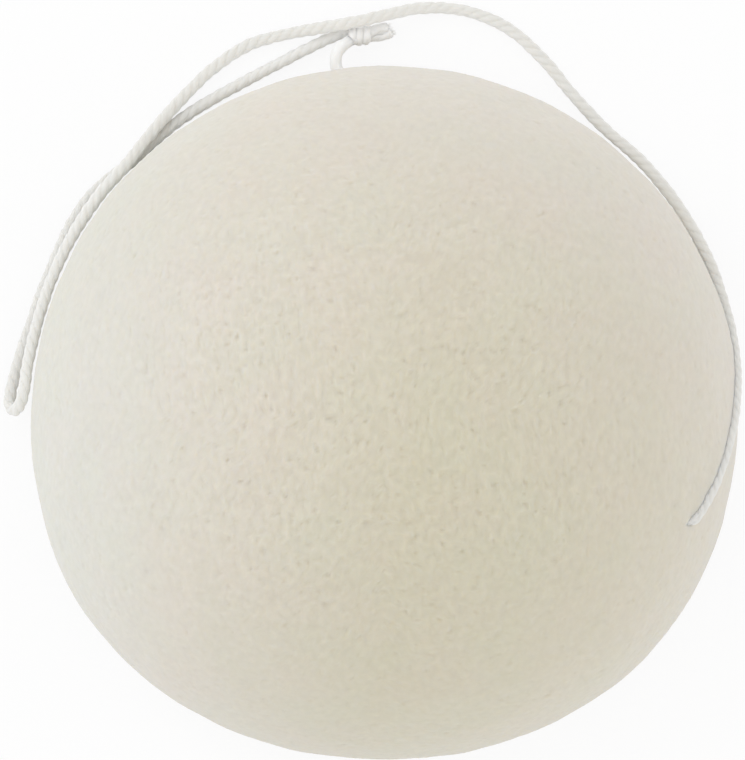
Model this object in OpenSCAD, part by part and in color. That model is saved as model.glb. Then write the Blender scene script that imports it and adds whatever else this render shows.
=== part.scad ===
// Konjac sponge: a half ball of soft sponge with a loop of cotton string threaded through it.
// Millimetres, +Z up. The origin is the centre of the flat face, and the dome points up.

/* [Sponge] */
// Diameter of the half ball at its widest ring
sponge_d = 80; // [72:1:90]
// Height of the half ball above its flat face
sponge_h = 40; // [36:1:46]
// Radius of the rounded edge round the flat face
edge_r = 5; // [4:0.5:7]

/* [String holes] */
// Direction in which the string turns into the side of the dome, in degrees from +X
side_angle = -22; // [-30:0.5:-21]
// Height of that turn above the flat face
side_z = 21; // [20:0.5:24]
// Direction in which the string leaves the sponge under its rim, in degrees from +X
rim_angle = 97.8; // [94:0.2:100]
// Height of the hole under the rim
rim_z = 2.4; // [2:0.1:3.5]
// How deep under the rim the straight hole meets the string's bend
rim_depth = 1.5; // [1:0.1:2]
// Clearance round the string in the straight hole
hole_gap = 0.2; // [0.1:0.05:0.3]
// Clearance round the string in its groove and where it bends out of the straight hole
groove_gap = 0.4; // [0.35:0.05:0.6]
// How far the middle of the string stands out from the face of the dome
groove_lift = 0.2; // [0:0.05:0.4]

/* [String] */
// Diameter of the cotton string
string_d = 1.2; // [1:0.1:1.3]
// Radius of the string's turn into the side of the dome
turn_r = 2.4; // [2:0.1:2.8]

/* [Knot] */
// Diameter over the wraps of the knot
knot_d = 2.64; // [2.6:0.02:2.9]
// Length of the knot's body
knot_len = 2.8; // [2:0.1:3.2]
// Number of wraps round the knot
knot_wraps = 3; // [2:1:4]
// How far each wrap stands out from the knot's body
wrap_lift = 0.08; // [0.04:0.02:0.1]
// Clearance between the two strands where they enter the knot
strand_gap = 0.06; // [0.02:0.02:0.1]
// Length of the upper cut end
tail_len = 1.9; // [1:0.1:2.4]
// How much shorter the lower cut end is
tail_step = 0.5; // [0.2:0.1:0.8]

/* [Hidden] */

string_r = string_d / 2;
overrun = 0.5;
round_fn = 96;
string_sides = 8;
edge_steps = 8;
dome_steps = 26;
turn_steps = 4;
ring_step = 3.2;
wrap_share = 0.45;

// The string's places in its groove on the dome: degrees from +X, height
groove_route = [
    [-19.5, 20],
    [-12, 16.9],
    [-4, 13.9],
    [4, 10.6],
    [11, 7.4],
];

// The rest of the loop: degrees from +X, distance out from the widest ring, height.
// It comes down off the dome, passes over the knot and climbs over its own return stretch to
// lean on the rim. It turns back in a standing fold at 180 degrees and returns low beside itself.
loop_route = [
    [18, 0.3, 5.2],
    [26, 0.55, 3.8],
    [35, 0.65, 2.6],
    [44, 0.7, 1.7],
    [52, 0.7, 0.9],
    [59, 1.8, 0.65],
    [65.5, 3.8, 0.65],
    [72, 5.7, 0.65],
    [78.5, 6.4, 0.65],
    [84.5, 6, 0.9],
    [89, 5.1, 2],
    [93, 4.4, 2.9],
    [98, 4.1, 2.1],
    [104, 4.2, 0.9],
    [110, 4.35, 0.65],
    [116.5, 3.5, 0.65],
    [123.5, 2.15, 1],
    [129.5, 1.2, 1.9],
    [136, 0.45, 3],
    [143, 0.5, 3.45],
    [150, 0.5, 3.5],
    [156, 0.5, 3.5],
    [162, 0.5, 3.5],
    [168, 0.54, 3.65],
    [172.5, 0.68, 4.25],
    [176.2, 0.75, 5],
    [178.5, 1.1, 4.5],
    [179.75, 1.75, 3.2],
    [179, 2.38, 2.2],
    [176.8, 2.35, 2],
    [173.3, 1.9, 2.15],
    [169.8, 1.55, 2.3],
    [166, 1.2, 2.35],
    [161, 1.05, 2.2],
    [155.5, 1.05, 2.1],
    [150, 1.3, 1.9],
    [145, 1.35, 1.7],
    [140.5, 0.95, 1.5],
    [136, 0.35, 1.35],
    [130, 0.3, 0.8],
    [124, 0.4, 0.65],
    [116, 0.5, 0.65],
    [104, 1.7, 0.7],
];

// The short stretch from the rim to the knot, written in the same way
stub_route = [
    [97.8, 0.3, 2.4],
    [97.3, 1.1, 2.3],
    [96.3, 1.8, 2.2],
];

// The middle of the knot's flat end, where both strands enter it, and the knot's direction
knot_place = [95, 2.7];
knot_angle = 7;
knot_lead = 1.6;

// The two strands enter the knot one above the other and a little to the side
strand_tilt = 53;
strand_off = string_r + strand_gap / 2;
strand_y = strand_off * cos(strand_tilt);
strand_z = strand_off * sin(strand_tilt);

function unit(v) = v / norm(v);
function polar(angle, r, z) = [r * cos(angle), r * sin(angle), z];

// Radius of the sponge at height z: an elliptic dome over a rounded edge
function sponge_r(z) = z >= edge_r
    ? sponge_d / 2 * sqrt(1 - pow((z - edge_r) / (sponge_h - edge_r), 2))
    : sponge_d / 2 - edge_r + sqrt(pow(edge_r, 2) - pow(edge_r - z, 2));

function on_dome(angle, z, lift) = polar(angle, sponge_r(z) + lift, z);
function beside(place) = polar(place[0], sponge_d / 2 + place[1], place[2]);

knot_at = beside([knot_place[0], knot_place[1], knot_d / 2]);
along_knot = polar(knot_angle, 1, 0);
across_knot = polar(knot_angle + 90, 1, 0);
function at_knot(x, y, z) = knot_at + along_knot * x + across_knot * y + [0, 0, z];

// Points of a round turn of radius r at corner c, between the directions a and b away from it
function turn(c, a, b, r) =
    let (
        t = r * sqrt((1 + a * b) / (1 - a * b)),
        o = c + unit(a + b) * norm([t, r]),
        p = c + a * t - o,
        q = c + b * t - o,
        w = 180 - acos(a * b)
    )
    [for (k = [0:turn_steps]) o
        + (p * sin(w * (1 - k / turn_steps)) + q * sin(w * k / turn_steps)) / sin(w)];

side_turn = on_dome(side_angle, side_z, 0);
rim_turn = on_dome(rim_angle, rim_z, 0);
through = unit(rim_turn - side_turn);
dome_points = [for (g = groove_route) on_dome(g[0], g[1], groove_lift)];
side_points = turn(side_turn, through, unit(dome_points[0] - side_turn), turn_r);
thread_start = side_points[0];
thread_end = rim_turn - through * rim_depth;

loop_points = concat(
    side_points,
    [for (k = [1:len(dome_points) - 1]) dome_points[k]],
    [for (place = loop_route) beside(place)],
    [at_knot(-knot_lead, strand_y, -strand_z), at_knot(0, strand_y, -strand_z)]
);
groove_last = len(side_points) + len(dome_points);
groove_points = [for (k = [0:groove_last]) loop_points[k]];
groove_end = unit(loop_points[groove_last] - loop_points[groove_last - 1]);

stub_points = concat(
    [thread_end, rim_turn],
    [for (place = stub_route) beside(place)],
    [at_knot(0, -strand_y, strand_z)]
);
rim_hole_points = [for (k = [0:2]) stub_points[k]];
rim_hole_end = unit(stub_points[2] - stub_points[1]);

// A smooth curve through the points, with a ring about every ring_step
function point_at(p, i) = i < 0 ? 2 * p[0] - p[1]
    : i >= len(p) ? 2 * p[len(p) - 1] - p[len(p) - 2]
    : p[i];
function curve(a, b, c, d, t) = (
    2 * b
    + (c - a) * t
    + (2 * a - 5 * b + 4 * c - d) * pow(t, 2)
    + (3 * b - a - 3 * c + d) * pow(t, 3)
) / 2;
function smooth(p) = concat(
    [for (i = [0:len(p) - 2])
        let (n = max(1, round(norm(p[i + 1] - p[i]) / ring_step)))
        for (k = [0:n - 1])
            curve(point_at(p, i - 1), p[i], p[i + 1], point_at(p, i + 2), k / n)],
    [p[len(p) - 1]]
);

// Directions along the points, then side directions carried along them without twist
function directions(p, first, last) = [for (i = [0:len(p) - 1])
    i == 0 ? first : i == len(p) - 1 ? last : unit(p[i + 1] - p[i - 1])];
function carried(d, side, i = 0) = i == len(d) ? []
    : let (s = unit(side - d[i] * (side * d[i]))) concat([s], carried(d, s, i + 1));

// A round cord along a route, from the direction first to the direction last
module cord(route, r, first, last) {
    p = smooth(route);
    d = directions(p, first, last);
    s = carried(d, cross(first, [0, 0, 1]));
    n = string_sides;
    m = len(p);
    points = [for (i = [0:m - 1]) for (k = [0:n - 1])
        p[i] + r * (s[i] * cos(k * 360 / n) + cross(d[i], s[i]) * sin(k * 360 / n))];
    walls = [for (i = [0:m - 2]) for (k = [0:n - 1])
        let (a = i * n + k, b = i * n + (k + 1) % n)
        each [[a, a + n, b], [b, a + n, b + n]]];
    caps = [
        [for (k = [0:n - 1]) k],
        [for (k = [0:n - 1]) m * n - 1 - k],
    ];
    polyhedron(points = points, faces = concat(walls, caps), convexity = 8);
}

// A straight round bar or hole from point a to point b
module bar(a, b, r) {
    v = b - a;
    translate(a)
        rotate([0, acos(v[2] / norm(v)), atan2(v[1], v[0])])
            cylinder(h = norm(v), r = r, $fn = round_fn);
}

module half_ball() {
    rotate_extrude($fn = round_fn)
        polygon(concat(
            [[0, 0]],
            [for (k = [0:edge_steps]) let (a = 90 * k / edge_steps)
                [sponge_d / 2 - edge_r + edge_r * sin(a), edge_r - edge_r * cos(a)]],
            [for (k = [1:dome_steps]) let (a = 90 * k / dome_steps)
                [sponge_d / 2 * cos(a), edge_r + (sponge_h - edge_r) * sin(a)]]
        ));
}

// The half ball with its straight hole, and the groove and the bend that the string lies in
module sponge() {
    color([0.88, 0.86, 0.79])
        difference() {
            half_ball();
            bar(thread_start - through * overrun, thread_end + through * overrun, string_r + hole_gap);
            cord(groove_points, string_r + groove_gap, -through, groove_end);
            cord(rim_hole_points, string_r + groove_gap, through, rim_hole_end);
        }
}

// The stretch hidden inside the sponge
module string_threaded() {
    color([0.82, 0.81, 0.78])
        bar(thread_start, thread_end, string_r);
}

module string_loop() {
    color([0.84, 0.83, 0.8])
        cord(loop_points, string_r, -through, along_knot);
}

module string_stub() {
    color([0.86, 0.85, 0.82])
        cord(stub_points, string_r, through, along_knot);
}

// A short barrel of wraps, with the string's two cut ends standing out of it
module string_knot() {
    pitch = knot_len / knot_wraps;
    wrap_r = pitch * wrap_share;
    color([0.8, 0.78, 0.74])
        translate(knot_at)
            rotate([0, 0, knot_angle]) {
                rotate([0, 90, 0]) {
                    cylinder(h = knot_len, r = knot_d / 2 - wrap_lift, $fn = round_fn);
                    for (k = [0:knot_wraps - 1])
                        translate([0, 0, pitch * (k + 1 / 2)])
                            rotate_extrude($fn = round_fn)
                                translate([knot_d / 2 - wrap_r, 0])
                                    circle(r = wrap_r, $fn = round_fn);
                }
                translate([0, -strand_y, strand_z])
                    rotate([0, 90, 0])
                        cylinder(h = knot_len + tail_len, r = string_r, $fn = round_fn);
                translate([0, strand_y, -strand_z])
                    rotate([0, 90, 0])
                        cylinder(h = knot_len + tail_len - tail_step, r = string_r, $fn = round_fn);
            }
}

sponge();
string_threaded();
string_loop();
string_stub();
string_knot();
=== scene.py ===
import bpy
import numpy as np
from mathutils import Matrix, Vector


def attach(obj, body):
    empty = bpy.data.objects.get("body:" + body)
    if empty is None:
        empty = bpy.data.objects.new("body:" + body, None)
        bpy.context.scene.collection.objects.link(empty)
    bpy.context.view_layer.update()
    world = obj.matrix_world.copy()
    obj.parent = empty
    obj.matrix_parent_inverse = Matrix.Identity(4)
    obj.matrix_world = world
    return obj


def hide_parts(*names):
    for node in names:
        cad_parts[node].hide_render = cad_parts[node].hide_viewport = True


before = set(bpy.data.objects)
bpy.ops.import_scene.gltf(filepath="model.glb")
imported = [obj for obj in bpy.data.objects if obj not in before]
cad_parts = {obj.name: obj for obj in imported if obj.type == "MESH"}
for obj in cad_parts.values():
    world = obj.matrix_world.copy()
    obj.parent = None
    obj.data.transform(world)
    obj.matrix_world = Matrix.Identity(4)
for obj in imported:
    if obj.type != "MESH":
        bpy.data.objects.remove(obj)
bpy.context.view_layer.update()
print("loaded the frame with", len(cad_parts), "nodes")

mm = 0.001
fullTurn = 2 * np.pi

# The picture looks straight down on the dome, with +Y up in it
photoView = {
    "middle": (-1.3, 3.6),  # what the picture's middle looks at, mm
    "tall": 85.9,  # height of the picture at the sponge's widest ring, mm
    "level": 5.0,  # height of that ring above the floor, mm
    "away": 1200.0,  # from the ring up to the camera, mm
    "sensor": 36.0,  # size of the camera's sensor, mm
}


def makeCamera(view):
    lens = bpy.data.cameras.new("camera")
    lens.sensor_width = view["sensor"]
    lens.lens = view["sensor"] * view["away"] / view["tall"]
    camera = bpy.data.objects.new("camera", lens)
    across, up = view["middle"]
    camera.location = (across * mm, up * mm, (view["level"] + view["away"]) * mm)
    bpy.context.scene.collection.objects.link(camera)
    bpy.context.scene.camera = camera


makeCamera(photoView)
print("camera made")

# The sponge's own sizes, mm
spongeSize = {
    "wide": 80.0,
    "tall": 40.0,
    "edgeRound": 5.0,  # radius of the rounding at the lower edge
    # waves of the outline seen from above: how many round the rim, how far out, which way (degrees)
    "outlineWaves": [
        (0, -0.23, 0),
        (1, 0.385, 279),
        (2, 0.396, 14),
        (3, 0.243, 274),
        (4, 0.264, 163),
        (5, 0.047, 59),
        (6, 0.047, 156),
    ],
}

# The string's route, mm: the same points as the solid string follows
stringRoute = {
    "wide": 1.2,
    "sideTurn": (-22, 21),  # degrees from +X and height where it turns into the dome
    "rimTurn": (97.8, 2.4),  # and where it comes out again under the rim
    "rimDepth": 1.5,  # the stretch inside the sponge ends this far short of there
    "turnRound": 2.4,  # radius of the turn into the dome
    "grooveLift": 0.2,  # how far the string's middle lies outside the dome's side
    "groove": [(-19.5, 20), (-12, 16.9), (-4, 13.9), (4, 10.6), (11, 7.4)],  # degrees, height
    # degrees, distance out from the widest ring, height
    "loop": [
        (18, 0.3, 5.2),
        (26, 0.55, 3.8),
        (35, 0.65, 2.6),
        (44, 0.7, 1.7),
        (52, 0.7, 0.9),
        (59, 1.8, 0.65),
        (65.5, 3.8, 0.65),
        (72, 5.7, 0.65),
        (78.5, 6.4, 0.65),
        (84.5, 6, 0.9),
        (89, 5.1, 2),
        (93, 4.4, 2.9),
        (98, 4.1, 2.1),
        (104, 4.2, 0.9),
        (110, 4.35, 0.65),
        (116.5, 3.5, 0.65),
        (123.5, 2.15, 1),
        (129.5, 1.2, 1.9),
        (136, 0.45, 3),
        (143, 0.5, 3.45),
        (150, 0.5, 3.5),
        (156, 0.5, 3.5),
        (162, 0.5, 3.5),
        (168, 0.54, 3.65),
        (172.5, 0.68, 4.25),
        (176.2, 0.75, 5),
        (178.5, 1.1, 4.5),
        (179.75, 1.75, 3.2),
        (179, 2.38, 2.2),
        (176.8, 2.35, 2),
        (173.3, 1.9, 2.15),
        (169.8, 1.55, 2.3),
        (166, 1.2, 2.35),
        (161, 1.05, 2.2),
        (155.5, 1.05, 2.1),
        (150, 1.3, 1.9),
        (145, 1.35, 1.7),
        (140.5, 0.95, 1.5),
        (136, 0.35, 1.35),
        (130, 0.3, 0.8),
        (124, 0.4, 0.65),
        (116, 0.5, 0.65),
        (104, 1.7, 0.7),
    ],
    "stub": [(97.8, 0.3, 2.4), (97.3, 1.1, 2.3), (96.3, 1.8, 2.2)],  # the short stretch, likewise
    "knotPlace": (95, 2.7),  # degrees, distance out
    "knotWide": 2.64,
    "knotTurn": 7,  # degrees from +X to the way the knot points
    "knotLead": 1.6,  # the loop runs straight this far ahead of the knot
    "strandTilt": 53,  # degrees by which its two strands lie one over the other
    "strandGap": 0.06,  # between those two strands
}


def unit(v):
    v = np.asarray(v, float)
    return v / np.linalg.norm(v, axis=-1, keepdims=True)


def polar(angle, radius, height):
    turn = np.radians(angle)
    return np.array([radius * np.cos(turn), radius * np.sin(turn), height])


# Radius of the sponge at a height: an elliptic dome over a quarter circle at the lower edge
def spongeRadius(height):
    size = spongeSize
    half, edge = size["wide"] / 2, size["edgeRound"]
    if height >= edge:
        return half * np.sqrt(1 - ((height - edge) / (size["tall"] - edge)) ** 2)
    return half - edge + np.sqrt(edge**2 - (edge - height) ** 2)


def onDome(place, lift=0.0):
    return polar(place[0], spongeRadius(place[1]) + lift, place[1])


def beside(place):
    return polar(place[0], spongeSize["wide"] / 2 + place[1], place[2])


# A round turn at a corner between two directions away from it: points on a circle that touches both
def roundTurn(corner, a, b, radius, steps=4):
    cosine = a @ b
    reach = radius * np.sqrt((1 + cosine) / (1 - cosine))
    middle = corner + unit(a + b) * np.hypot(reach, radius)
    p, q = corner + a * reach - middle, corner + b * reach - middle
    whole = np.pi - np.arccos(cosine)
    share = np.linspace(0, 1, steps + 1)[:, None]
    return middle + (p * np.sin(whole * (1 - share)) + q * np.sin(whole * share)) / np.sin(whole)


# A smooth curve through all the points (Catmull-Rom), then evenly spaced points along it
def smoothLine(points, step, between=24):
    p = np.vstack([2 * points[0] - points[1], points, 2 * points[-1] - points[-2]])
    t = np.linspace(0, 1, between, endpoint=False)[:, None]
    a, b, c, d = (p[k : len(p) - 3 + k, None, :] for k in range(4))
    square, cube = 2 * a - 5 * b + 4 * c - d, 3 * b - a - 3 * c + d
    curve = (2 * b + (c - a) * t + square * t**2 + cube * t**3) / 2
    curve = np.vstack([curve.reshape(-1, 3), points[-1]])
    run = np.concatenate([[0], np.cumsum(np.linalg.norm(np.diff(curve, axis=0), axis=1))])
    even = np.linspace(0, run[-1], int(round(run[-1] / step)) + 1)
    return np.stack([np.interp(even, run, curve[:, k]) for k in range(3)], axis=1)


route = stringRoute
stringHalf = route["wide"] / 2
strandOff = stringHalf + route["strandGap"] / 2
strandSide = strandOff * np.cos(np.radians(route["strandTilt"]))
strandRise = strandOff * np.sin(np.radians(route["strandTilt"]))
knotAt = beside((*route["knotPlace"], route["knotWide"] / 2))
knotAxes = np.array([polar(route["knotTurn"], 1, 0), polar(route["knotTurn"] + 90, 1, 0), [0, 0, 1]])


def atKnot(x, y, z):
    return knotAt + np.array([x, y, z], float) @ knotAxes


sideTurn, rimTurn = onDome(route["sideTurn"]), onDome(route["rimTurn"])
through = unit(rimTurn - sideTurn)
groovePoints = [onDome(place, route["grooveLift"]) for place in route["groove"]]
sidePoints = roundTurn(sideTurn, through, unit(groovePoints[0] - sideTurn), route["turnRound"])
threadStart, threadEnd = sidePoints[0], rimTurn - through * route["rimDepth"]
loopPoints = np.vstack([
    sidePoints,
    groovePoints[1:],
    [beside(place) for place in route["loop"]],
    [atKnot(-route["knotLead"], strandSide, -strandRise), atKnot(0, strandSide, -strandRise)],
])
stubPoints = np.vstack([
    [threadEnd, rimTurn],
    [beside(place) for place in route["stub"]],
    [atKnot(0, -strandSide, strandRise)],
])

# What the twisted cotton looks like, mm
cottonLook = {
    "step": 0.15,  # between two rings
    "sides": 36,
    "strands": 3,
    "lay": 4.0,  # one whole turn of a strand round the string
    "peak": 0.695,  # distance out to the back of a strand
    "valley": 0.58,  # and to the crease between two strands
    "lobePower": 0.8,  # a lower power makes the strands' backs broader
    "uneven": (2.5, 0.3),  # a strand's own height comes and goes: distance and share
    "width": (4.0, 0.045),  # the string thickens and thins: distance and share
    "slack": (6.0, 0.3),  # the twist tightens and loosens: distance and turn in radians
    "yarns": 12,  # fine ridges round the string
    "yarnRidge": 0.006,  # and their height
    "endRound": (0.2, 0.5),  # each end narrows over this distance to this share
    "parted": (0.0, 0.0),  # the creases deepen this near to the far end, by this share
    "seed": 11,
}


# Side directions carried along a line without twist; the first is square to the line and to lean
def carriedFrame(line, lean=(0.3, 0.2, 1.0)):
    along = unit(np.gradient(line, axis=0))
    side = np.cross(along[0], lean)
    sides = np.empty_like(along)
    for k, direction in enumerate(along):
        side = side - direction * (side @ direction)
        side = side / np.linalg.norm(side)
        sides[k] = side
    return along, sides, np.cross(along, sides)


# A smooth random wave along a line, from -1 to 1
def randomWave(run, length, rng):
    knots = np.arange(0, run[-1] + 3 * length, length)
    values = rng.uniform(-1, 1, len(knots))
    x = run / length
    base = x.astype(int)
    part = x - base
    ease = part * part * (3 - 2 * part)
    return values[base] * (1 - ease) + values[base + 1] * ease


# A closed tube: each ring goes round its point of the line, from outward towards sideways
def tubeMesh(line, outward, sideways, radius, sides):
    rings = len(line)
    turn = np.arange(sides) * fullTurn / sides
    cosine, sine = np.cos(turn)[None, :, None], np.sin(turn)[None, :, None]
    ring = outward[:, None] * cosine + sideways[:, None] * sine
    points = (line[:, None] + ring * radius[..., None]).reshape(-1, 3)
    i, k = np.meshgrid(np.arange(rings - 1), np.arange(sides), indexing="ij")
    a, b = i * sides + k, i * sides + (k + 1) % sides
    quads = np.stack([a, b, b + sides, a + sides], axis=-1).reshape(-1, 4)
    first, last = rings * sides, rings * sides + 1
    points = np.vstack([points, line[0], line[-1]])
    k = np.arange(sides)
    end = (rings - 1) * sides
    caps = np.vstack([
        np.stack([np.full(sides, first), (k + 1) % sides, k], axis=1),
        np.stack([np.full(sides, last), end + k, end + (k + 1) % sides], axis=1),
    ])
    return points, quads, caps


mapUnit = 10  # mm
strandMap = "alongStrand"


# Map places of a tube's corners, in cm: distance along it and distance round it
def tubeUv(run, quads, caps, sides, girth):
    last = len(run) - 1
    column = quads % sides
    wraps = (column == 0) & (column.max(axis=1, keepdims=True) == sides - 1)
    quadUv = np.stack([run[quads // sides], (column + sides * wraps) / sides * girth], axis=-1)
    capUv = np.stack([run[np.minimum(caps // sides, last)], (caps % sides) / sides * girth], axis=-1)
    return quadUv.reshape(-1, 2) / mapUnit, capUv.reshape(-1, 2) / mapUnit


# The string: one closed surface with a lobe for each strand, turning left-handed about the line.
# Distance out = valley + (peak - valley) * |cos(strands * turn / 2)| ^ lobePower
def twistedString(line, look):
    rng = np.random.default_rng(look["seed"])
    run = np.concatenate([[0], np.cumsum(np.linalg.norm(np.diff(line, axis=0), axis=1))])
    along, sideA, sideB = carriedFrame(line)
    slackReach, slackTurn = look["slack"]
    widthReach, widthShare = look["width"]
    ownReach, ownShare = look["uneven"]
    partReach, partShare = look["parted"]
    endReach, endShare = look["endRound"]
    phase = slackTurn * randomWave(run, slackReach, rng) - fullTurn * run / look["lay"]
    outward = sideA * np.cos(phase)[:, None] + sideB * np.sin(phase)[:, None]
    sideways = np.cross(along, outward)
    strands, turn = look["strands"], np.arange(look["sides"]) * fullTurn / look["sides"]
    strandHere = np.round(turn * strands / fullTurn).astype(int) % strands
    own = np.stack([1 + ownShare * randomWave(run, ownReach, rng) for k in range(strands)], axis=1)
    lobe = np.abs(np.cos(strands * turn / 2)) ** look["lobePower"] * own[:, strandHere]
    toEnd = run[-1] - run
    deeper = partShare * np.clip(1 - toEnd / max(partReach, look["step"]), 0, 1)
    valley = look["valley"] * (1 - deeper)[:, None]
    radius = valley + (look["peak"] - valley) * lobe
    radius += look["yarnRidge"] * np.cos(look["yarns"] * (turn + phase[:, None]))
    radius *= (1 + widthShare * randomWave(run, widthReach, rng))[:, None]
    nearEnd = np.clip(np.minimum(run, toEnd) / endReach, 0, 1)
    radius *= (endShare + (1 - endShare) * np.sqrt(1 - (1 - nearEnd) ** 2))[:, None]
    points, quads, caps = tubeMesh(line, outward, sideways, radius, look["sides"])
    points[:, 2] = np.maximum(points[:, 2], 0)  # flat where it rests on the floor
    uvs = tubeUv(run, quads, caps, look["sides"], fullTurn * look["peak"])
    return points, quads, caps, *uvs


# Joins surface parts into one mesh. Each part: points in mm, quads, triangles, and for the string
# their map places. Marks are values at the points, for the materials
def makePiece(name, parts, marks=None):
    points = np.vstack([part[0] for part in parts]) * mm
    starts = np.cumsum([0] + [len(part[0]) for part in parts])
    quads = np.vstack([part[1] + start for part, start in zip(parts, starts)])
    tris = np.vstack([part[2] + start for part, start in zip(parts, starts)])
    mesh = bpy.data.meshes.new(name)
    corners = np.concatenate([quads.ravel(), tris.ravel()]).astype(np.int32)
    sizes = np.concatenate([np.full(len(quads), 4), np.full(len(tris), 3)]).astype(np.int32)
    mesh.vertices.add(len(points))
    mesh.vertices.foreach_set("co", points.astype(np.float32).ravel())
    mesh.loops.add(len(corners))
    mesh.loops.foreach_set("vertex_index", corners)
    mesh.polygons.add(len(sizes))
    firstCorners = np.concatenate([[0], np.cumsum(sizes)[:-1]]).astype(np.int32)
    mesh.polygons.foreach_set("loop_start", firstCorners)
    mesh.polygons.foreach_set("use_smooth", np.ones(len(sizes), bool))
    mesh.update(calc_edges=True)
    if len(parts[0]) > 3:
        uvs = np.vstack([part[3] for part in parts] + [part[4] for part in parts])
        mesh.uv_layers.new(name=strandMap).uv.foreach_set("vector", uvs.astype(np.float32).ravel())
    for label, values in (marks or {}).items():
        mark = mesh.attributes.new(label, "FLOAT", "POINT")
        mark.data.foreach_set("value", values.astype(np.float32))
    mesh.validate()
    piece = bpy.data.objects.new(name, mesh)
    bpy.context.scene.collection.objects.link(piece)
    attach(piece, "root")
    return piece


loopLine = smoothLine(loopPoints, cottonLook["step"])
loopLength = np.linalg.norm(np.diff(loopLine, axis=0), axis=1).sum()
# Painted shade: the string is greyer where it faces up and away from the sponge, the sides that catch
# the most light, so that its lit and shaded sides come out flatter
paintedShadeAlong = {
    "places": (0, 40, 63, 95, 108, 122, 130, 154, 161, 190, 219),  # distance along the loop, mm
    "shares": (1, 1, 1, 1, 1, 0.95, 0.75, 0.72, 1, 1, 0.4),  # how much painted shade it gets there
    "away": 0.8,  # how much facing away from the sponge counts
    "up": 0.6,  # and facing up
    "middle": 0.35,  # painted shade on a side that faces neither way
}


# Painted shade at each point of the loop: more where it faces up and away from the sponge, scaled by
# the share along the loop; the ends' middles take that share
def paintedShadeOf(line, points, sides, paintedShade):
    rings = np.repeat(line, sides, axis=0)
    facing = unit(points[:-2] - rings)  # the last two points are the middles of the ends
    away = unit(rings * [1, 1, 0]) * paintedShade["away"] + np.array([0, 0, paintedShade["up"]])
    exposed = np.clip(paintedShade["middle"] + (1 - paintedShade["middle"]) * (facing * away).sum(axis=1), 0, 1)
    along = np.interp(np.linspace(0, loopLength, len(line)), paintedShade["places"], paintedShade["shares"])
    exposed *= np.repeat(along, sides)
    return np.append(exposed, along[[0, -1]])


loopParts = twistedString(loopLine, cottonLook)
paintedShadeMark = paintedShadeOf(loopLine, loopParts[0], cottonLook["sides"], paintedShadeAlong)
hangingLoop = makePiece("hanging_loop", [loopParts], {"paintedShade": paintedShadeMark})
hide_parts("string_loop")

# The short stretch is pulled tight, so that its twist hardly shows
stubLook = {**cottonLook, "peak": 0.66, "valley": 0.62, "lay": 6.0, "seed": 12}
tiedStub = makePiece("tied_stub", [twistedString(smoothLine(stubPoints, cottonLook["step"]), stubLook)])
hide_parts("string_stub")

threadLine = smoothLine(np.array([threadStart, threadEnd]), cottonLook["step"])
threadedString = makePiece("threaded_string", [twistedString(threadLine, {**cottonLook, "seed": 13})])
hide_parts("string_threaded")
print("string made,", round(loopLength, 1), "mm in its loop")

# The knot, in its own directions: along it, across it and up, mm
knotLook = {
    # the short stretch's end crosses over the top, and the loop's end passes under it
    "upperTail": [
        (0, -0.38, 0.5),
        (0.8, -0.3, 0.36),
        (1.6, -0.08, 0.24),
        (2.4, 0.28, 0.26),
        (3.2, 0.5, 0.2),
        (4.3, 0.54, 0.05),
    ],
    "lowerTail": [
        (0, 0.38, -0.5),
        (0.8, 0.3, -0.55),
        (1.6, 0, -0.5),
        (2.4, -0.3, -0.36),
        (3.2, -0.34, -0.2),
        (4.1, -0.26, -0.14),
        (4.7, -0.06, -0.1),
    ],
    # one of the loop end's strands lies between the two tails
    "looseStrand": [(2, 0.15, 0), (2.8, 0.1, 0.08), (3.6, 0.12, 0.02), (4.4, 0.2, -0.06)],
    "wrapFrom": -0.2,
    "wrapTo": 2.25,
    "wrapTurns": 3.05,
    "wrapOff": 0.65,  # distance from the knot's own line
    "wrapTuck": 0.35,  # how far the wrap's two ends dive in
    "wrapDive": 6,  # each end dives in over one part in this many of the wrap
    "wrapStart": 190,  # degrees round the knot
    "wrapPoints": 40,
    "step": 0.1,  # between two rings of the knot's parts
}


def knotLine(points):
    return smoothLine(np.array([atKnot(*p) for p in points]), knotLook["step"])


# The wrap: a helix about the knot's axis whose distance from it shrinks at both ends
def wrapLine(look):
    t = np.linspace(0, 1, look["wrapPoints"])
    turn = np.radians(look["wrapStart"]) + t * look["wrapTurns"] * fullTurn
    tuck = look["wrapTuck"] * (1 - np.clip(np.minimum(t, 1 - t) * look["wrapDive"], 0, 1)) ** 2
    x = look["wrapFrom"] + (look["wrapTo"] - look["wrapFrom"]) * t
    off = look["wrapOff"] - tuck
    points = [atKnot(a, b * np.sin(c), b * np.cos(c)) for a, b, c in zip(x, off, turn)]
    return smoothLine(np.array(points), look["step"])


# Loose fibres that stand out of a cut end, mm
frayLook = {
    "fibres": 22,
    "half": 0.03,  # half of a fibre's width at its foot
    "tipShare": 0.5,  # share of that width at its tip
    "sides": 5,
    "long": (0.15, 0.45),  # least and greatest length
    "foot": 0.1,  # how deep they start in the cut end
    "within": 0.42,  # distance of the outermost one from the middle
    "spread": 0.45,  # how far they lean out
    "bend": 0.1,  # and how much of that they bend
    "mapLong": 0.3,  # their length in the map
    "seed": 31,
}


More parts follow.
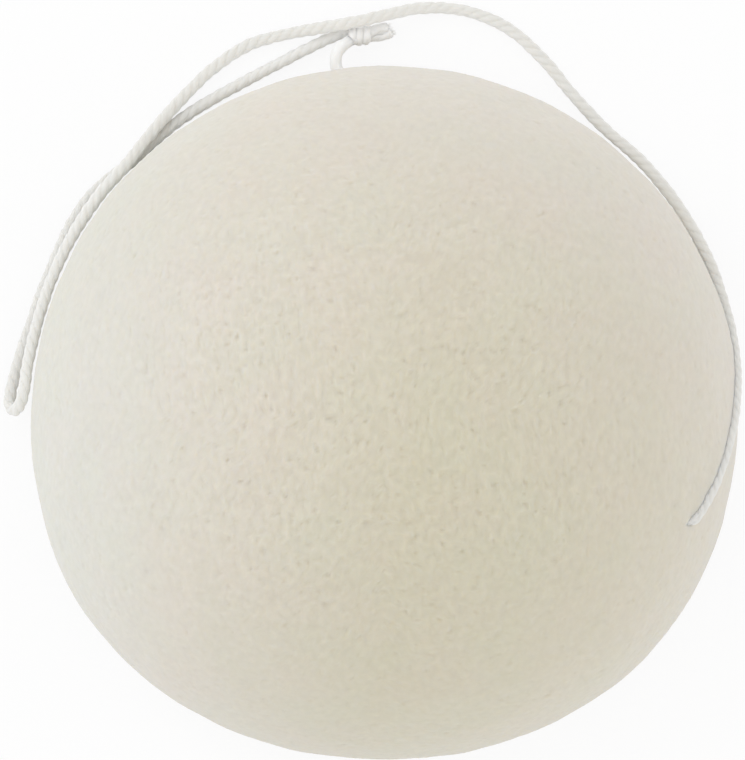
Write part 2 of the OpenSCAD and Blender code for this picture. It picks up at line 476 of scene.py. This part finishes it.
def frayedEnd(line, look):
    rng = np.random.default_rng(look["seed"])
    along, sideA, sideB = (frameSide[-1] for frameSide in carriedFrame(line))
    parts = []
    for k in range(look["fibres"]):
        turn, share = rng.uniform(0, fullTurn), np.sqrt(rng.uniform())
        out = sideA * np.cos(turn) + sideB * np.sin(turn)
        foot = line[-1] + out * look["within"] * share - along * look["foot"]
        long = look["foot"] + rng.uniform(*look["long"])
        tip = foot + (along + out * look["spread"] * share) * long
        bend = rng.normal(size=3) * look["spread"] * look["bend"]
        middle = (foot + tip) / 2 + bend
        fibre = smoothLine(np.array([foot, middle, tip + bend]), knotLook["step"])
        _, fibreA, fibreB = carriedFrame(fibre)
        narrowing = np.linspace(1, look["tipShare"], len(fibre))[:, None]
        radius = look["half"] * narrowing * np.ones(look["sides"])
        points, quads, caps = tubeMesh(fibre, fibreA, fibreB, radius, look["sides"])
        run = np.linspace(0, look["mapLong"], len(fibre))
        uvs = tubeUv(run, quads, caps, look["sides"], fullTurn * look["half"])
        parts.append((points, quads, caps, *uvs))
    return parts


knotCottonLook = {**cottonLook, "step": knotLook["step"]}
tailLook = {**knotCottonLook, "peak": 0.585, "valley": 0.52, "lay": 3.6, "parted": (0.7, 0.2)}
wrapLook = {**knotCottonLook, "peak": 0.52, "valley": 0.485, "lay": 3.2}
looseLook = {**tailLook, "peak": 0.44, "valley": 0.4}
lowerFray = {**frayLook, "seed": 32}
upperTail, lowerTail = knotLine(knotLook["upperTail"]), knotLine(knotLook["lowerTail"])
upperParts = [twistedString(upperTail, {**tailLook, "seed": 21}), *frayedEnd(upperTail, frayLook)]
lowerParts = [twistedString(lowerTail, {**tailLook, "seed": 22}), *frayedEnd(lowerTail, lowerFray)]
lowerParts.append(twistedString(knotLine(knotLook["looseStrand"]), {**looseLook, "seed": 23}))
knotPieces = [
    makePiece("knot_upper_tail", upperParts),
    makePiece("knot_lower_tail", lowerParts),
    makePiece("knot_wrap", [twistedString(wrapLine(knotLook), {**wrapLook, "seed": 25})]),
]
for piece in knotPieces:
    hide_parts("string_knot")

print("knot made")

# The sponge's skin, mm
spongeSkin = {
    "rings": 328,  # from the middle of the top to the lower edge; a multiple of 4
    "swell": (7.5, 0.15),  # slow bulges: size and height
    "lumps": (2.4, 0.05),
    "grains": (0.62, 0.045),
    "grainStretch": 1.7,  # along Y
    "fibres": (0.6, 0.04),  # thin raised lines
    "fibreStretch": 2.4,
    "fibreThin": 2.2,  # a greater number makes the lines thinner
    "drift": 1.3,  # size of the noise that pushes the finer ones aside
    "push": {"fibres": 0.4, "grains": 0.15, "pores": 0.12},  # how far it pushes each
    # shifts that take each noise from another place
    "shift": {"lumps": 31, "drift": (71, 83, 97), "fibres": 11, "grains": 57, "pores": 17},
    "poreCell": 0.95,  # one pore in each cube of this size
    "poreHalf": (0.14, 0.3),
    "poreDepth": (0.01, 0.11),
    "poreStretch": 1.9,
    # between these heights the grain fades to one share and its tone, the painted shade and highlight
    # of the grain, to another
    "calmEdge": (37.5, 27, 0.58, 0.5),
    "hollowFrom": 0.5,  # the grain starts to count as a hollow, which gets painted shade, where its noise is below this
    # painted light: the side tone, paler where the light falls on the left, comes in from here to there
    # along this way (degrees)
    "paintedLightSideTone": (-4.9, 39.7, 169.4),
    # painted light: the edge tone, paler towards the lower edge, comes in from one height down to the
    # other; heights count less along this way
    "paintedEdgeLightTone": (43.5, 7.8, 76.6, 0.545),
    "paintedLightTint": (20, 33, 172),  # painted light tint: the far tone comes in from here to there along this way
    "baseInset": 0.2,  # between the flat face's disc and the end of the rounding
    "baseSink": 0.05,  # the flat face keeps only its hollows, this much deeper
    "baseFacing": -0.99,  # the skin is flat face where its normal points down more than this
    "seed": 5,
}

tableSize = 4096  # a power of 2
mixRng = np.random.default_rng(spongeSkin["seed"])
mixTable = mixRng.permutation(tableSize)
slopeTable = unit(mixRng.normal(size=(tableSize, 3)))
chanceTable = mixRng.random((tableSize, 8))  # the first five of each row are used


def mixCells(cells):
    cells = cells.astype(np.int64)
    last = tableSize - 1
    mixed = mixTable[cells[:, 0] & last]
    mixed = mixTable[(mixed + cells[:, 1]) & last]
    return mixTable[(mixed + cells[:, 2]) & last]


# Smooth noise: random slopes at the corners of a cubic lattice, blended with a fifth-power ease
# and raised to about -1 to 1
def slopeNoise(points, gain=1.7):
    base = np.floor(points)
    part = points - base
    ease = part**3 * (part * (part * 6 - 15) + 10)
    total = np.zeros(len(points))
    for corner in np.ndindex(2, 2, 2):
        corner = np.array(corner)
        slope = (slopeTable[mixCells(base + corner)] * (part - corner)).sum(axis=1)
        total += slope * np.where(corner == 1, ease, 1 - ease).prod(axis=1)
    return total * gain


# Pores: each cube of space holds one stretched dent at a random place; the deepest one counts
def poreDents(points, skin):
    cell = skin["poreCell"]
    base = np.floor(points / cell)
    deepest = np.zeros(len(points))
    for shift in np.ndindex(3, 3, 3):
        cube = base + np.array(shift) - 1
        index = mixCells(cube + skin["shift"]["pores"])
        chance = chanceTable[index]
        away = points - (cube + chance[:, :3]) * cell
        lengthwise = (away * slopeTable[index]).sum(axis=1)
        apart = (away**2).sum(axis=1) - (1 - skin["poreStretch"] ** -2) * lengthwise**2
        half = skin["poreHalf"][0] + (skin["poreHalf"][1] - skin["poreHalf"][0]) * chance[:, 3]
        depth = skin["poreDepth"][0] + (skin["poreDepth"][1] - skin["poreDepth"][0]) * chance[:, 4] ** 2
        deepest = np.maximum(deepest, depth * np.exp(-((apart / half**2) ** 2)))
    return deepest


# A disc of points in diamond rings: ring k holds 4k points, and rings bend from diamond to circle
def diamondDisc(rings):
    i, j = np.meshgrid(np.arange(-rings, rings + 1), np.arange(-rings, rings + 1), indexing="ij")
    inside = abs(i) + abs(j) <= rings
    ids = np.full(i.shape, -1)
    ids[inside] = np.arange(inside.sum())
    ring = (abs(i) + abs(j))[inside]
    x, y = i[inside], j[inside]
    sectors = [(x > 0) & (y >= 0), (x <= 0) & (y > 0), (x < 0) & (y <= 0), (x >= 0) & (y < 0)]
    quarter = np.select(sectors, [0, 1, 2, 3], 0)
    partOf = np.select([quarter == 0, quarter == 1, quarter == 2], [y, -x, -y], x)
    turn = (quarter + partOf / np.maximum(ring, 1)) * np.pi / 2
    a, b, c, d = ids[:-1, :-1], ids[1:, :-1], ids[1:, 1:], ids[:-1, 1:]
    corners = np.stack([a, b, c, d], axis=-1).reshape(-1, 4)
    held = (corners >= 0).sum(axis=1)
    quads = corners[held == 4]
    edge = corners[held == 3]
    keep = edge >= 0
    tris = edge[keep].reshape(-1, 3)
    order = np.argsort(turn[ring == rings])
    rim = np.flatnonzero(ring == rings)[order]
    return ring, turn, quads, tris, rim


# Radius, height and outward normal at a share of the way along half of the sponge's section:
# from the top down the dome, then round the lower edge
def sectionAt(run, domeSteps=600, edgeSteps=120):
    size = spongeSize
    half, edge = size["wide"] / 2, size["edgeRound"]
    t = np.linspace(np.pi / 2, 0, domeSteps)
    f = np.linspace(0, np.pi / 2, edgeSteps)[1:]
    radius = np.concatenate([half * np.cos(t), half - edge + edge * np.cos(f)])
    height = np.concatenate([edge + (size["tall"] - edge) * np.sin(t), edge - edge * np.sin(f)])
    length = np.concatenate([[0], np.cumsum(np.hypot(np.diff(radius), np.diff(height)))])
    slopeR, slopeH = np.gradient(radius, length), np.gradient(height, length)
    at = run * length[-1]
    r, h, dr, dh = (np.interp(at, length, v) for v in (radius, height, slopeR, slopeH))
    return r, h, -dh, dr


# Pushes the points out to the photo's slightly uneven outline, less towards the middle
def bendOutline(points):
    turn = np.arctan2(points[:, 1], points[:, 0])
    flat = np.hypot(points[:, 0], points[:, 1])
    wave = sum(
        out * np.cos(count * turn - np.radians(way))
        for count, out, way in spongeSize["outlineWaves"]
    )
    grow = 1 + wave * 2 / spongeSize["wide"] * np.clip(flat * 2 / spongeSize["wide"], 0, 1)
    return points * np.stack([grow, grow, np.ones_like(grow)], axis=1)


# Where the string presses in: the skin under it sinks to the string's face and swells beside it
stringBed = {
    "box": (25, 24, 26),  # only skin past this x, within this y and below this height is near it, mm
    "along": 60,  # and only this first stretch of the loop touches the dome
    "skip": 2,  # of that line's points, one in this many is used
    "batches": 40,  # the skin's points are worked through in this many lots
    "half": (0.5, 0.45),  # of the bed about the string's centre line, below it and above it
    "lip": (0.05, 0.25),  # how far the skin rises beside the string, below it and above it
    "lipReach": 2.2,  # and over what distance
    "heights": (5, 8, 19, 22),  # the skin swells over the string between these, fading at both ends
    "deepest": 1.5,
    "hole": (0.95, 0.55),  # the dimple where the string comes out under the rim: half width, depth
}


def pressString(points, normals, line, bed):
    x, y, z = points.T
    leastX, mostY, mostZ = bed["box"]
    near = np.flatnonzero((x > leastX) & (np.abs(y) < mostY) & (z < mostZ))
    p, n = points[near], normals[near]
    line = line[: int(bed["along"] / cottonLook["step"])][:: bed["skip"]]
    along = unit(np.gradient(line, axis=0))
    nearest = np.empty(len(p), int)
    for part in np.array_split(np.arange(len(p)), bed["batches"]):
        nearest[part] = ((p[part, None] - line[None]) ** 2).sum(axis=2).argmin(axis=1)
    away = p - line[nearest]
    out = (away * n).sum(axis=1)
    above = (away * unit(np.cross(n, along[nearest]))).sum(axis=1) > 0
    half = np.where(above, bed["half"][1], bed["half"][0])
    lip = np.where(above, bed["lip"][1], bed["lip"][0])
    reach = np.linalg.norm(away - n * out[:, None], axis=1)
    # the groove: sink until outside the string
    held = np.sqrt(np.clip(half**2 - reach**2, 0, None))
    sink = np.clip(out + held, 0, bed["deepest"]) * (reach < half)
    hug = np.interp(line[nearest, 2], bed["heights"], [0, 1, 1, 0])
    rise = lip * np.exp(-(((reach - half) / bed["lipReach"]) ** 2)) * (reach >= half) * hug
    points[near] = p + n * (rise - sink)[:, None]
    hole = np.linalg.norm(points - rimTurn, axis=1) / bed["hole"][0]
    return points - normals * (bed["hole"][1] * np.exp(-(hole**4)))[:, None]


skin = spongeSkin
ring, turn, quads, tris, rim = diamondDisc(skin["rings"])
radius, height, outward, upward = sectionAt(ring / skin["rings"])
topPoints = np.stack([radius * np.cos(turn), radius * np.sin(turn), height], axis=1)
topNormals = unit(np.stack([outward * np.cos(turn), outward * np.sin(turn), upward], axis=1))

# The flat face: a disc with half as many points round its edge, tied to the rim by triangles
baseRings = skin["rings"] // 2
bRing, bTurn, bQuads, bTris, bRim = diamondDisc(baseRings)
baseHalf = spongeSize["wide"] / 2 - spongeSize["edgeRound"] - skin["baseInset"]
bRadius = baseHalf * bRing / baseRings
basePoints = np.stack([bRadius * np.cos(bTurn), bRadius * np.sin(bTurn), 0 * bRadius], axis=1)
baseNormals = np.tile([0.0, 0.0, -1.0], (len(basePoints), 1))
start = len(topPoints)
inner, outer = bRim + start, rim
m = len(inner)
k = np.arange(m)
# each step of the inner ring (c0 to c1) meets two steps of the outer one (o0 to o2)
o0, o1, o2 = outer[2 * k], outer[2 * k + 1], outer[(2 * k + 2) % len(outer)]
c0, c1 = inner[k], inner[(k + 1) % m]
joint = np.vstack([np.stack([c0, o1, o0], 1), np.stack([c0, c1, o1], 1), np.stack([c1, o2, o1], 1)])
spongePoints = np.vstack([topPoints, basePoints])
spongeNormals = np.vstack([topNormals, baseNormals])
spongeQuads = np.vstack([quads, bQuads[:, ::-1] + start])
spongeTris = np.vstack([tris, bTris[:, ::-1] + start, joint])

spongePoints = bendOutline(spongePoints)
spongePoints = pressString(spongePoints, spongeNormals, loopLine, stringBed)
where = spongePoints.copy()
shift, push = skin["shift"], skin["push"]
swell = skin["swell"][1] * slopeNoise(where / skin["swell"][0])
swell += skin["lumps"][1] * slopeNoise(where / skin["lumps"][0] + shift["lumps"])
drift = np.stack([slopeNoise(where / skin["drift"] + by) for by in shift["drift"]], axis=1)
fibreCell = skin["fibres"][0] * np.array([1, skin["fibreStretch"], 1])
fibre = slopeNoise((where + push["fibres"] * drift) / fibreCell + shift["fibres"])
fibre = np.clip(1 - np.abs(fibre) * skin["fibreThin"], 0, 1) ** 2
grainCell = skin["grains"][0] * np.array([1, skin["grainStretch"], 1])
grain = slopeNoise((where + push["grains"] * drift) / grainCell + shift["grains"])
pore = poreDents(where + push["pores"] * drift, skin) / skin["poreDepth"][1]
calmFrom, calmTo, calmShape, calmTone = skin["calmEdge"]
rough = np.interp(where[:, 2], [calmTo, calmFrom], [0, 1])
fine = skin["grains"][1] * grain + skin["fibres"][1] * fibre - skin["poreDepth"][1] * pore
rise = swell + (calmShape + (1 - calmShape) * rough) * fine
onBase = spongeNormals[:, 2] < skin["baseFacing"]
rise = np.where(onBase, np.minimum(rise - skin["baseSink"], 0), rise)
spongePoints = spongePoints + spongeNormals * rise[:, None]
spongePoints[:, 2] = np.maximum(spongePoints[:, 2], 0)
# Painted light: the side, edge and far marks make the sponge's colour paler and cooler on the left and
# paler towards the lower edge. Painted shade and highlight: the pore and hollow marks darken its
# grain's dents, the fibre mark lightens its raised lines
sideFrom, sideTo, sideWay = skin["paintedLightSideTone"]
edgeHigh, edgeLow, edgeWay, edgeLean = skin["paintedEdgeLightTone"]
farFrom, farTo, farWay = skin["paintedLightTint"]
rough = calmTone + (1 - calmTone) * rough
edgeHeight = where[:, 2] - edgeLean * (where @ polar(edgeWay, 1, 0))
marks = {
    "pore": pore * rough,
    "fibre": fibre * rough,
    "hollow": np.clip(skin["hollowFrom"] - grain * rough, 0, 1),
    "side": np.interp(where @ polar(sideWay, 1, 0), [sideFrom, sideTo], [0, 1]),
    "edge": np.interp(edgeHeight, [edgeLow, edgeHigh], [1, 0]),
    "far": np.interp(where @ polar(farWay, 1, 0), [farFrom, farTo], [0, 1]),
}
sponge = makePiece("sponge_body", [(spongePoints, spongeQuads, spongeTris)], marks)
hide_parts("sponge")
print("sponge made,", len(spongePoints), "points")


def addNode(tree, kind, **values):
    node = tree.nodes.new("ShaderNode" + kind)
    for name, value in values.items():
        if hasattr(node, name):
            setattr(node, name, value)
        else:
            node.inputs[name.replace("_", " ")].default_value = value
    return node


def setInputs(node, values):
    for name, value in values.items():
        node.inputs[name].default_value = value


def newMaterial(name):
    material = bpy.data.materials.new(name)
    material.use_nodes = True
    tree = material.node_tree
    return material, tree, tree.nodes["Principled BSDF"], tree.links.new


# Colours are linear red, green, blue
spongeFinish = {
    "warm": (0.673, 0.636, 0.509, 1),
    # Painted light: the side tone is paler on the left, where the light falls, and the edge tone paler
    # than the warm middle towards the lower edge
    "paintedLightSideTone": (0.769, 0.738, 0.698, 1),
    "paintedEdgeLightTone": (0.684, 0.645, 0.571, 1),
    "paintedLightTint": (0.97, 1.008, 1.015, 1),  # painted light tint: multiplies the tone at the left, where the light falls
    "blush": (1.004, 0.989, 0.985, 1),  # slow patches multiply the tone by these
    "green": (0.991, 0.996, 0.98, 1),
    "poreTone": (0.93, 0.915, 0.885, 1),  # painted shade: the bottom of a pore multiplies the tone by this
    "fibreTone": (1.03, 1.03, 1.04, 1),  # painted highlight: a raised fibre multiplies the tone by this
    "hollowTone": (0.96, 0.955, 0.94, 1),  # painted shade: a hollow of the grain multiplies the tone by this
    "patches": (9 * mm, 2.0, 0.35, 0.65),  # noise: size, detail, and its values for none and all
    "specks": (0.9 * mm, 3.0, 0.3, 0.7),
    "speckShare": 0.02,  # by which the specks darken and lighten
    "grain": {"Scale": 3200.0, "Detail": 4.0, "Roughness": 0.65},
    "grainBump": {"Strength": 0.4, "Distance": 0.05 * mm},
    "surface": {
        "Roughness": 0.95,
        "Specular IOR Level": 0.15,
        "Subsurface Weight": 0.7,
        "Subsurface Radius": (1.0, 0.85, 0.6),
        "Subsurface Scale": 1.8 * mm,
        "Sheen Weight": 0.25,
        "Sheen Roughness": 0.6,
    },
}


def blendColour(tree, mode, factor, first, second):
    blend = addNode(tree, "Mix", data_type="RGBA", blend_type=mode)
    for socket, value in ((0, factor), (6, first), (7, second)):
        if isinstance(value, bpy.types.NodeSocket):
            tree.links.new(value, blend.inputs[socket])
        else:
            blend.inputs[socket].default_value = value
    return blend.outputs[2]


def noiseOver(tree, place, size, detail, low, high):
    noise = addNode(tree, "TexNoise", Scale=1 / size, Detail=detail)
    tree.links.new(place, noise.inputs["Vector"])
    spread = addNode(tree, "MapRange", From_Min=low, From_Max=high)
    tree.links.new(noise.outputs["Fac"], spread.inputs["Value"])
    return spread.outputs["Result"]


def addBump(tree, noise, shader, values):
    bump = addNode(tree, "Bump", **values)
    tree.links.new(noise.outputs["Fac"], bump.inputs["Height"])
    tree.links.new(bump.outputs["Normal"], shader.inputs["Normal"])


def markOf(tree, label):
    return addNode(tree, "Attribute", attribute_name=label).outputs["Fac"]


def spongeMaterial(look):
    material, tree, shader, link = newMaterial("konjac sponge")
    place = addNode(tree, "TexCoord").outputs["Object"]
    # Painted light: paler on the left and towards the lower edge, cooler at the left
    tone = blendColour(tree, "MIX", markOf(tree, "side"), look["warm"], look["paintedLightSideTone"])
    tone = blendColour(tree, "MIX", markOf(tree, "edge"), tone, look["paintedEdgeLightTone"])
    tone = blendColour(tree, "MULTIPLY", markOf(tree, "far"), tone, look["paintedLightTint"])
    patches = noiseOver(tree, place, *look["patches"])
    patchTone = blendColour(tree, "MIX", patches, look["green"], look["blush"])
    tone = blendColour(tree, "MULTIPLY", 1.0, tone, patchTone)
    specks = noiseOver(tree, place, *look["specks"])
    dark, light = (1 - look["speckShare"],) * 3 + (1,), (1 + look["speckShare"],) * 3 + (1,)
    speckTone = blendColour(tree, "MIX", specks, dark, light)
    tone = blendColour(tree, "MULTIPLY", 1.0, tone, speckTone)
    # Painted shade in pores and grain hollows, painted highlight on raised fibres
    for label in ("pore", "fibre", "hollow"):
        tone = blendColour(tree, "MULTIPLY", markOf(tree, label), tone, look[label + "Tone"])
    link(tone, shader.inputs["Base Color"])
    grain = addNode(tree, "TexNoise", **look["grain"])
    link(place, grain.inputs["Vector"])
    addBump(tree, grain, shader, look["grainBump"])
    setInputs(shader, look["surface"])
    return material


cottonFinish = {
    "light": (0.93, 0.925, 0.905, 1),
    "dark": (0.90, 0.895, 0.875, 1),
    "paintedShade": (0.75, 0.745, 0.725, 1),  # painted shade: multiplies the tone where the string faces the light
    "threadSlant": 0.75,  # fibres lie nearly along the string, at this turn from the strand's own way
    "threadSize": (0.11, 0.012),  # cm along a fibre and across it
    "threads": {"Scale": 1.0, "Detail": 4.0, "Roughness": 0.6},
    "threadRange": (0.3, 0.6),  # values of that noise for dark and for light
    "threadBump": {"Strength": 0.35, "Distance": 0.04 * mm},
    "surface": {
        "Roughness": 0.9,
        "Specular IOR Level": 0.2,
        "Subsurface Weight": 1.0,
        "Subsurface Radius": (1.0, 0.95, 0.9),
        "Subsurface Scale": 1.4 * mm,
        "Sheen Weight": 0.3,
    },
}

# The knot and its loose fibres are pulled dense, so that light goes less deep into them. Painted light:
# their tones are also lighter than the string's, making up for the darker look of the shallower scatter
# and the knot's creases
knotFinish = {
    **cottonFinish,
    "light": (0.95, 0.945, 0.93, 1),
    "dark": (0.93, 0.925, 0.905, 1),
    "surface": {
        **cottonFinish["surface"],
        "Subsurface Weight": 0.5,
        "Subsurface Scale": 0.2 * mm,
    },
}


def cottonMaterial(name, look):
    material, tree, shader, link = newMaterial(name)
    place = addNode(tree, "UVMap", uv_map=strandMap)
    slant = addNode(tree, "Mapping", vector_type="TEXTURE")
    slant.inputs["Rotation"].default_value = (0, 0, look["threadSlant"])
    slant.inputs["Scale"].default_value = (*look["threadSize"], 1)
    link(place.outputs["UV"], slant.inputs["Vector"])
    threads = addNode(tree, "TexNoise", **look["threads"])
    link(slant.outputs["Vector"], threads.inputs["Vector"])
    low, high = look["threadRange"]
    spread = addNode(tree, "MapRange", From_Min=low, From_Max=high)
    link(threads.outputs["Fac"], spread.inputs["Value"])
    tone = blendColour(tree, "MIX", spread.outputs["Result"], look["dark"], look["light"])
    # painted shade on the string's sides that face the light
    tone = blendColour(tree, "MULTIPLY", markOf(tree, "paintedShade"), tone, look["paintedShade"])
    link(tone, shader.inputs["Base Color"])
    addBump(tree, threads, shader, look["threadBump"])
    setInputs(shader, look["surface"])
    return material


sponge.data.materials.append(spongeMaterial(spongeFinish))
cotton = cottonMaterial("twisted cotton", cottonFinish)
knotCotton = cottonMaterial("knot cotton", knotFinish)
for piece in (hangingLoop, tiedStub, threadedString):
    piece.data.materials.append(cotton)
for piece in knotPieces:
    piece.data.materials.append(knotCotton)
print("materials made")

studio = {
    "floorHalf": 3.0,  # metres
    "floorTone": 0.92,
    "worldLight": 0.88,
    "floorWhite": 0.88,  # how much of the floor's seen tone is plain white
    # lamp: place in metres, side length, strength in watts, colour
    "lamps": {
        "key": ((-0.6, 0.4, 0.5), 0.6, 1.8, (0.95, 0.97, 1.0)),
        "fill": ((0.75, 0.05, 0.4), 0.6, 0.6, (1.0, 1.0, 1.0)),
    },
}


# 1 for camera, glossy and transmission rays, 0 for the rays that carry light on from a surface
def seenDirectly(tree):
    rays = addNode(tree, "LightPath")
    first = addNode(tree, "Math", operation="MAXIMUM")
    tree.links.new(rays.outputs["Is Camera Ray"], first.inputs[0])
    tree.links.new(rays.outputs["Is Glossy Ray"], first.inputs[1])
    both = addNode(tree, "Math", operation="MAXIMUM")
    tree.links.new(first.outputs[0], both.inputs[0])
    tree.links.new(rays.outputs["Is Transmission Ray"], both.inputs[1])
    return both.outputs[0]


def makeStudio(look):
    half = look["floorHalf"]
    mesh = bpy.data.meshes.new("floor")
    corners = [(-half, -half, 0), (half, -half, 0), (half, half, 0), (-half, half, 0)]
    mesh.from_pydata(corners, [], [(0, 1, 2, 3)])
    floor = bpy.data.objects.new("floor", mesh)
    bpy.context.scene.collection.objects.link(floor)
    material, tree, shader, link = newMaterial("pale floor")
    tone = (look["floorTone"],) * 3 + (1,)
    setInputs(shader, {"Base Color": tone, "Roughness": 1.0, "Specular IOR Level": 0.0})
    white = addNode(tree, "Emission", Strength=1.0)
    white.inputs["Color"].default_value = (1, 1, 1, 1)
    share = addNode(tree, "Math", operation="MULTIPLY")
    share.inputs[1].default_value = look["floorWhite"]
    link(seenDirectly(tree), share.inputs[0])
    blend = addNode(tree, "MixShader")
    link(share.outputs[0], blend.inputs[0])
    link(shader.outputs[0], blend.inputs[1])
    link(white.outputs[0], blend.inputs[2])
    link(blend.outputs[0], tree.nodes["Material Output"].inputs["Surface"])
    mesh.materials.append(material)
    world = bpy.data.worlds.new("studio")
    bpy.context.scene.world = world
    world.use_nodes = True
    tree = world.node_tree
    background = tree.nodes["Background"]
    background.inputs["Color"].default_value = (1, 1, 1, 1)
    level = addNode(tree, "MapRange", To_Min=look["worldLight"], To_Max=1.0)
    tree.links.new(seenDirectly(tree), level.inputs["Value"])
    tree.links.new(level.outputs["Result"], background.inputs["Strength"])
    for name, (place, side, power, colour) in look["lamps"].items():
        lamp = bpy.data.lights.new(name, "AREA")
        lamp.size, lamp.energy, lamp.color = side, power, colour
        holder = bpy.data.objects.new(name, lamp)
        holder.location = place
        holder.rotation_mode = "QUATERNION"
        holder.rotation_quaternion = Vector(place).to_track_quat("Z", "Y")  # shines towards the origin
        bpy.context.scene.collection.objects.link(holder)


makeStudio(studio)
bpy.context.scene.view_settings.view_transform = "Standard"
print("studio made")
